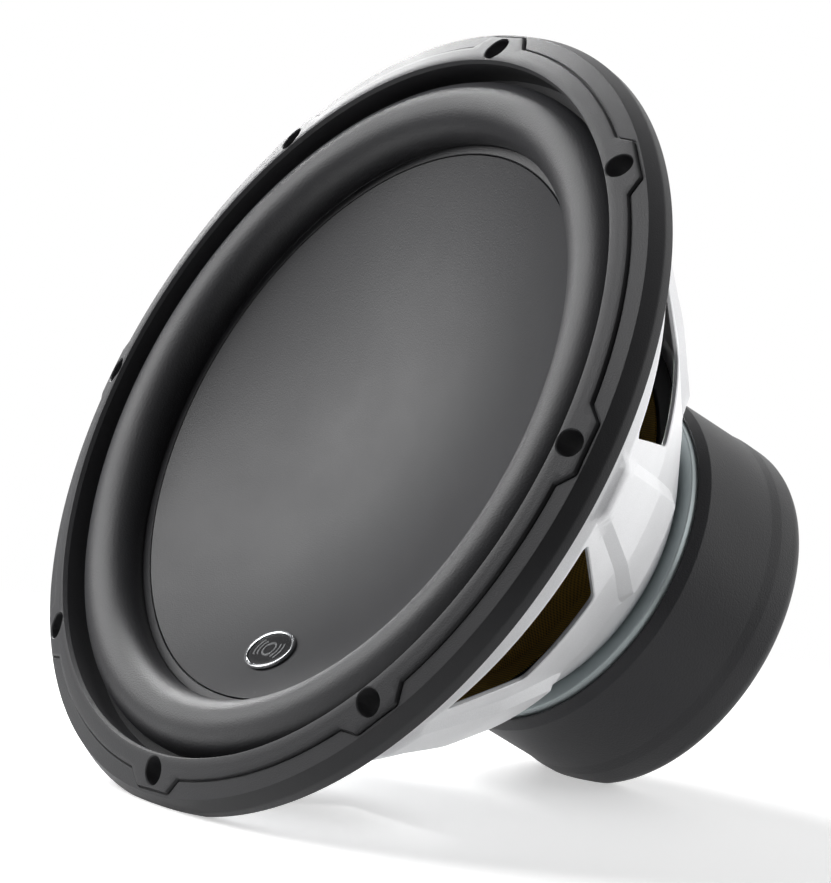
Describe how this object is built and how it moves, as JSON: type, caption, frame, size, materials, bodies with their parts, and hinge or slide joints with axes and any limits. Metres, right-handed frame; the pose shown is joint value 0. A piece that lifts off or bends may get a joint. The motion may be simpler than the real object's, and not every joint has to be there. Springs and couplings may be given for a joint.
{
  "type": "car subwoofer driver",
  "caption": "Round car subwoofer driver with a dished cone, half-roll surround, open stamped basket, booted double magnet and push wire terminal.",
  "frame": {"origin": "centre of the flat back of the magnet boot", "axes": "+Z along the cone's travel, out of the cone; the spoke seam nearest the display side lies near -Y and the cone badge on -X"},
  "size_m": [0.319, 0.319, 0.1834],
  "materials": {
    "boot_rubber": "dark charcoal moulded rubber, satin",
    "plated_steel": "zinc plated steel",
    "ferrite": "dark pressed ferrite",
    "zinc_plate": "bluish grey zinc plating",
    "silver_paint": "silver white metallic paint on pressed steel",
    "ring_plastic": "dark charcoal satin plastic",
    "surround_rubber": "satin charcoal rubber",
    "cone_plastic": "dark grey injection moulded cone",
    "former_film": "amber film",
    "copper_wire": "enamelled copper winding",
    "spider_cloth": "olive brown resin treated woven cloth",
    "black_plastic": "black moulded plastic",
    "red_plastic": "red moulded plastic",
    "badge_chrome": "bright plated rim",
    "badge_gloss": "dark gloss field",
    "contact_metal": "tinned brass",
    "lead_braid": "tinned copper braid"
  },
  "bodies": {
    "frame": {"magnet_boot": "boot_rubber", "pole_yoke": "plated_steel", "magnet_ring_lower": "ferrite", "magnet_ring_upper": "ferrite", "top_plate": "zinc_plate", "basket_foot": "silver_paint", "basket_shell": "silver_paint", "basket_spoke_1": "silver_paint", "basket_spoke_2": "silver_paint", "basket_spoke_3": "silver_paint", "basket_spoke_4": "silver_paint", "basket_spoke_5": "silver_paint", "basket_spoke_6": "silver_paint", "basket_spoke_7": "silver_paint", "basket_wall": "silver_paint", "basket_flange": "silver_paint", "plate_screw_1": "plated_steel", "plate_screw_2": "plated_steel", "plate_screw_3": "plated_steel", "plate_screw_4": "plated_steel", "plate_screw_5": "plated_steel", "plate_screw_6": "plated_steel", "trim_ring": "ring_plastic", "surround": "surround_rubber", "spider": "spider_cloth", "spider_ledge": "black_plastic", "terminal_housing": "black_plastic", "terminal_screw_left": "plated_steel", "terminal_screw_right": "plated_steel", "button_spring_positive": "plated_steel", "button_spring_negative": "plated_steel", "contact_tab_positive": "contact_metal", "contact_tab_negative": "contact_metal", "tinsel_lead_positive": "lead_braid", "tinsel_lead_negative": "lead_braid"},
    "cone": {"cone_dish": "cone_plastic", "cone_body": "cone_plastic", "coil_former": "former_film", "voice_coil": "copper_wire", "former_collar": "former_film", "badge_rim": "badge_chrome", "badge_field": "badge_gloss"},
    "button_positive": {"push_button_positive": "red_plastic"},
    "button_negative": {"push_button_negative": "black_plastic"}
  },
  "joints": [
    {"name": "cone_travel", "type": "slide", "parent": "frame", "child": "cone", "axis": [0, 0, 1], "range_m": [-0.013, 0.013], "stiffness_N_per_m": 5000, "deforming": ["surround", "spider", "tinsel_lead_positive", "tinsel_lead_negative"]},
    {"name": "positive_button_press", "type": "slide", "parent": "frame", "child": "button_positive", "axis": [0.3161, -0.6869, 0.6544], "range_m": [0, 0.003], "stiffness_N_per_m": 600, "deforming": ["button_spring_positive"]},
    {"name": "negative_button_press", "type": "slide", "parent": "frame", "child": "button_negative", "axis": [0.3161, -0.6869, 0.6544], "range_m": [0, 0.003], "stiffness_N_per_m": 600, "deforming": ["button_spring_negative"]}
  ]
}
